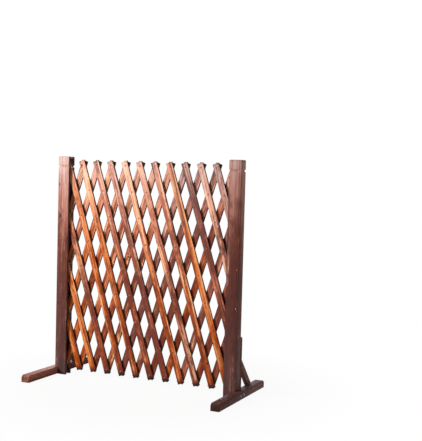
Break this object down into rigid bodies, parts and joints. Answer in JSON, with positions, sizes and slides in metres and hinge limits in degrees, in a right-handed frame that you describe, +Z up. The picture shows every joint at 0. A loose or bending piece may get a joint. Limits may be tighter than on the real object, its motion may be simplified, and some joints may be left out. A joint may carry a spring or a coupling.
{
  "type": "expandable pet fence",
  "caption": "Free-standing wooden fence: a riveted scissor lattice of slats slides in the grooves of end posts on cross feet, so that its width can be set.",
  "frame": {"origin": "on the floor, midway between the posts and at the middle of their depth", "axes": "+X along the fence from the left post to the right one, +Y from the front to the back where the struts are, +Z up"},
  "size_m": [0.8824, 0.44, 0.92],
  "materials": {
    "slat_wood": "heat-browned softwood, oiled, orange brown",
    "post_wood": "heat-browned softwood, dark red brown",
    "pin_steel": "dull brown steel",
    "screw_steel": "bright zinc-plated steel"
  },
  "bodies": {
    "left_post": {"left_cleat": "post_wood", "left_cleat_lower_screw": "screw_steel", "left_cleat_upper_screw": "screw_steel", "left_foot": "post_wood", "left_foot_back_screw": "screw_steel", "left_foot_front_screw": "screw_steel", "left_lattice_pin": "pin_steel", "left_post": "post_wood", "left_strut": "post_wood", "left_strut_lower_screw": "screw_steel", "left_strut_upper_screw": "screw_steel"},
    "front_slat_02": {"front_slat_02": "slat_wood"},
    "back_slat_02": {"back_slat_02": "slat_wood"},
    "back_slat_03": {"back_slat_03": "slat_wood"},
    "back_slat_04": {"back_slat_04": "slat_wood"},
    "back_slat_05": {"back_slat_05": "slat_wood"},
    "back_slat_06": {"back_slat_06": "slat_wood"},
    "front_slat_06": {"front_slat_06": "slat_wood"},
    "front_slat_05": {"front_slat_05": "slat_wood"},
    "front_slat_04": {"front_slat_04": "slat_wood"},
    "front_slat_03": {"front_slat_03": "slat_wood"},
    "front_slat_07": {"front_slat_07": "slat_wood"},
    "front_slat_01": {"front_slat_01": "slat_wood"},
    "front_slat_08": {"front_slat_08": "slat_wood"},
    "front_slat_09": {"front_slat_09": "slat_wood"},
    "front_slat_10": {"front_slat_10": "slat_wood"},
    "back_slat_07": {"back_slat_07": "slat_wood"},
    "back_slat_08": {"back_slat_08": "slat_wood"},
    "back_slat_09": {"back_slat_09": "slat_wood"},
    "back_slat_10": {"back_slat_10": "slat_wood"},
    "back_slat_01": {"back_slat_01": "slat_wood"},
    "back_slat_11": {"back_slat_11": "slat_wood"},
    "back_slat_12": {"back_slat_12": "slat_wood"},
    "back_slat_13": {"back_slat_13": "slat_wood"},
    "back_slat_14": {"back_slat_14": "slat_wood"},
    "front_slat_11": {"front_slat_11": "slat_wood"},
    "front_slat_12": {"front_slat_12": "slat_wood"},
    "front_slat_13": {"front_slat_13": "slat_wood"},
    "front_slat_14": {"front_slat_14": "slat_wood"},
    "right_post": {"right_cleat": "post_wood", "right_cleat_lower_screw": "screw_steel", "right_cleat_upper_screw": "screw_steel", "right_foot": "post_wood", "right_foot_back_screw": "screw_steel", "right_foot_front_screw": "screw_steel", "right_lattice_pin": "pin_steel", "right_post": "post_wood", "right_strut": "post_wood", "right_strut_lower_screw": "screw_steel", "right_strut_upper_screw": "screw_steel"}
  },
  "joints": [
    {"name": "left_post_to_front_slat_02", "type": "hinge", "parent": "left_post", "child": "front_slat_02", "pos_m": [-0.37528, 0, 0.46543], "axis": [0, -1, 0], "range_deg": [-10.5, 27.1]},
    {"name": "front_slat_02_to_back_slat_02", "type": "hinge", "parent": "front_slat_02", "child": "back_slat_02", "pos_m": [-0.37528, 0, 0.46543], "axis": [0, 1, 0], "range_deg": [-21.1, 54.3]},
    {"name": "front_slat_02_to_back_slat_03", "type": "hinge", "parent": "front_slat_02", "child": "back_slat_03", "pos_m": [-0.34117, 0, 0.35981], "axis": [0, 1, 0], "range_deg": [-21.1, 54.3]},
    {"name": "front_slat_02_to_back_slat_04", "type": "hinge", "parent": "front_slat_02", "child": "back_slat_04", "pos_m": [-0.30705, 0, 0.25418], "axis": [0, 1, 0], "range_deg": [-21.1, 54.3]},
    {"name": "front_slat_02_to_back_slat_05", "type": "hinge", "parent": "front_slat_02", "child": "back_slat_05", "pos_m": [-0.27293, 0, 0.14855], "axis": [0, 1, 0], "range_deg": [-21.1, 54.3]},
    {"name": "front_slat_02_to_back_slat_06", "type": "hinge", "parent": "front_slat_02", "child": "back_slat_06", "pos_m": [-0.23882, 0, 0.04293], "axis": [0, 1, 0], "range_deg": [-21.1, 54.3]},
    {"name": "back_slat_02_to_front_slat_06", "type": "hinge", "parent": "back_slat_02", "child": "front_slat_06", "pos_m": [-0.23882, 0, 0.88794], "axis": [0, -1, 0], "range_deg": [-21.1, 54.3]},
    {"name": "back_slat_02_to_front_slat_05", "type": "hinge", "parent": "back_slat_02", "child": "front_slat_05", "pos_m": [-0.27293, 0, 0.78231], "axis": [0, -1, 0], "range_deg": [-21.1, 54.3]},
    {"name": "back_slat_02_to_front_slat_04", "type": "hinge", "parent": "back_slat_02", "child": "front_slat_04", "pos_m": [-0.30705, 0, 0.67669], "axis": [0, -1, 0], "range_deg": [-21.1, 54.3]},
    {"name": "back_slat_02_to_front_slat_03", "type": "hinge", "parent": "back_slat_02", "child": "front_slat_03", "pos_m": [-0.34117, 0, 0.57106], "axis": [0, -1, 0], "range_deg": [-21.1, 54.3]},
    {"name": "back_slat_03_to_front_slat_07", "type": "hinge", "parent": "back_slat_03", "child": "front_slat_07", "pos_m": [-0.17058, 0, 0.88794], "axis": [0, -1, 0], "range_deg": [-21.1, 54.3]},
    {"name": "back_slat_03_to_front_slat_01", "type": "hinge", "parent": "back_slat_03", "child": "front_slat_01", "pos_m": [-0.37528, 0, 0.25418], "axis": [0, -1, 0], "range_deg": [-21.1, 54.3]},
    {"name": "back_slat_04_to_front_slat_08", "type": "hinge", "parent": "back_slat_04", "child": "front_slat_08", "pos_m": [-0.10235, 0, 0.88794], "axis": [0, -1, 0], "range_deg": [-21.1, 54.3]},
    {"name": "back_slat_05_to_front_slat_09", "type": "hinge", "parent": "back_slat_05", "child": "front_slat_09", "pos_m": [-0.03412, 0, 0.88794], "axis": [0, -1, 0], "range_deg": [-21.1, 54.3]},
    {"name": "back_slat_06_to_front_slat_10", "type": "hinge", "parent": "back_slat_06", "child": "front_slat_10", "pos_m": [0.03412, 0, 0.88794], "axis": [0, -1, 0], "range_deg": [-21.1, 54.3]},
    {"name": "front_slat_06_to_back_slat_07", "type": "hinge", "parent": "front_slat_06", "child": "back_slat_07", "pos_m": [-0.06823, 0, 0.35981], "axis": [0, 1, 0], "range_deg": [-21.1, 54.3]},
    {"name": "front_slat_06_to_back_slat_08", "type": "hinge", "parent": "front_slat_06", "child": "back_slat_08", "pos_m": [-0.03412, 0, 0.25418], "axis": [0, 1, 0], "range_deg": [-21.1, 54.3]},
    {"name": "front_slat_06_to_back_slat_09", "type": "hinge", "parent": "front_slat_06", "child": "back_slat_09", "pos_m": [0, 0, 0.14855], "axis": [0, 1, 0], "range_deg": [-21.1, 54.3]},
    {"name": "front_slat_06_to_back_slat_10", "type": "hinge", "parent": "front_slat_06", "child": "back_slat_10", "pos_m": [0.03412, 0, 0.04293], "axis": [0, 1, 0], "range_deg": [-21.1, 54.3]},
    {"name": "front_slat_05_to_back_slat_01", "type": "hinge", "parent": "front_slat_05", "child": "back_slat_01", "pos_m": [-0.30705, 0, 0.88794], "axis": [0, 1, 0], "range_deg": [-21.1, 54.3]},
    {"name": "front_slat_07_to_back_slat_11", "type": "hinge", "parent": "front_slat_07", "child": "back_slat_11", "pos_m": [0.10235, 0, 0.04293], "axis": [0, 1, 0], "range_deg": [-21.1, 54.3]},
    {"name": "front_slat_08_to_back_slat_12", "type": "hinge", "parent": "front_slat_08", "child": "back_slat_12", "pos_m": [0.17058, 0, 0.04293], "axis": [0, 1, 0], "range_deg": [-21.1, 54.3]},
    {"name": "front_slat_09_to_back_slat_13", "type": "hinge", "parent": "front_slat_09", "child": "back_slat_13", "pos_m": [0.23882, 0, 0.04293], "axis": [0, 1, 0], "range_deg": [-21.1, 54.3]},
    {"name": "front_slat_10_to_back_slat_14", "type": "hinge", "parent": "front_slat_10", "child": "back_slat_14", "pos_m": [0.30705, 0, 0.04293], "axis": [0, 1, 0], "range_deg": [-21.1, 54.3]},
    {"name": "back_slat_07_to_front_slat_11", "type": "hinge", "parent": "back_slat_07", "child": "front_slat_11", "pos_m": [0.10235, 0, 0.88794], "axis": [0, -1, 0], "range_deg": [-21.1, 54.3]},
    {"name": "back_slat_08_to_front_slat_12", "type": "hinge", "parent": "back_slat_08", "child": "front_slat_12", "pos_m": [0.17058, 0, 0.88794], "axis": [0, -1, 0], "range_deg": [-21.1, 54.3]},
    {"name": "back_slat_09_to_front_slat_13", "type": "hinge", "parent": "back_slat_09", "child": "front_slat_13", "pos_m": [0.23882, 0, 0.88794], "axis": [0, -1, 0], "range_deg": [-21.1, 54.3]},
    {"name": "back_slat_10_to_front_slat_14", "type": "hinge", "parent": "back_slat_10", "child": "front_slat_14", "pos_m": [0.30705, 0, 0.88794], "axis": [0, -1, 0], "range_deg": [-21.1, 54.3]},
    {"name": "back_slat_13_to_right_post", "type": "hinge", "parent": "back_slat_13", "child": "right_post", "pos_m": [0.37528, 0, 0.46543], "axis": [0, -1, 0], "range_deg": [-10.6, 27.2]}
  ],
  "couplings": [
    {"joint": "front_slat_02_to_back_slat_02", "follows": "left_post_to_front_slat_02", "ratio": 2},
    {"joint": "front_slat_02_to_back_slat_03", "follows": "left_post_to_front_slat_02", "ratio": 2},
    {"joint": "front_slat_02_to_back_slat_04", "follows": "left_post_to_front_slat_02", "ratio": 2},
    {"joint": "front_slat_02_to_back_slat_05", "follows": "left_post_to_front_slat_02", "ratio": 2},
    {"joint": "front_slat_02_to_back_slat_06", "follows": "left_post_to_front_slat_02", "ratio": 2},
    {"joint": "back_slat_02_to_front_slat_06", "follows": "left_post_to_front_slat_02", "ratio": 2},
    {"joint": "back_slat_02_to_front_slat_05", "follows": "left_post_to_front_slat_02", "ratio": 2},
    {"joint": "back_slat_02_to_front_slat_04", "follows": "left_post_to_front_slat_02", "ratio": 2},
    {"joint": "back_slat_02_to_front_slat_03", "follows": "left_post_to_front_slat_02", "ratio": 2},
    {"joint": "back_slat_03_to_front_slat_07", "follows": "left_post_to_front_slat_02", "ratio": 2},
    {"joint": "back_slat_03_to_front_slat_01", "follows": "left_post_to_front_slat_02", "ratio": 2},
    {"joint": "back_slat_04_to_front_slat_08", "follows": "left_post_to_front_slat_02", "ratio": 2},
    {"joint": "back_slat_05_to_front_slat_09", "follows": "left_post_to_front_slat_02", "ratio": 2},
    {"joint": "back_slat_06_to_front_slat_10", "follows": "left_post_to_front_slat_02", "ratio": 2},
    {"joint": "front_slat_06_to_back_slat_07", "follows": "left_post_to_front_slat_02", "ratio": 2},
    {"joint": "front_slat_06_to_back_slat_08", "follows": "left_post_to_front_slat_02", "ratio": 2},
    {"joint": "front_slat_06_to_back_slat_09", "follows": "left_post_to_front_slat_02", "ratio": 2},
    {"joint": "front_slat_06_to_back_slat_10", "follows": "left_post_to_front_slat_02", "ratio": 2},
    {"joint": "front_slat_05_to_back_slat_01", "follows": "left_post_to_front_slat_02", "ratio": 2},
    {"joint": "front_slat_07_to_back_slat_11", "follows": "left_post_to_front_slat_02", "ratio": 2},
    {"joint": "front_slat_08_to_back_slat_12", "follows": "left_post_to_front_slat_02", "ratio": 2},
    {"joint": "front_slat_09_to_back_slat_13", "follows": "left_post_to_front_slat_02", "ratio": 2},
    {"joint": "front_slat_10_to_back_slat_14", "follows": "left_post_to_front_slat_02", "ratio": 2},
    {"joint": "back_slat_07_to_front_slat_11", "follows": "left_post_to_front_slat_02", "ratio": 2},
    {"joint": "back_slat_08_to_front_slat_12", "follows": "left_post_to_front_slat_02", "ratio": 2},
    {"joint": "back_slat_09_to_front_slat_13", "follows": "left_post_to_front_slat_02", "ratio": 2},
    {"joint": "back_slat_10_to_front_slat_14", "follows": "left_post_to_front_slat_02", "ratio": 2},
    {"joint": "back_slat_13_to_right_post", "follows": "left_post_to_front_slat_02", "ratio": 1}
  ]
}
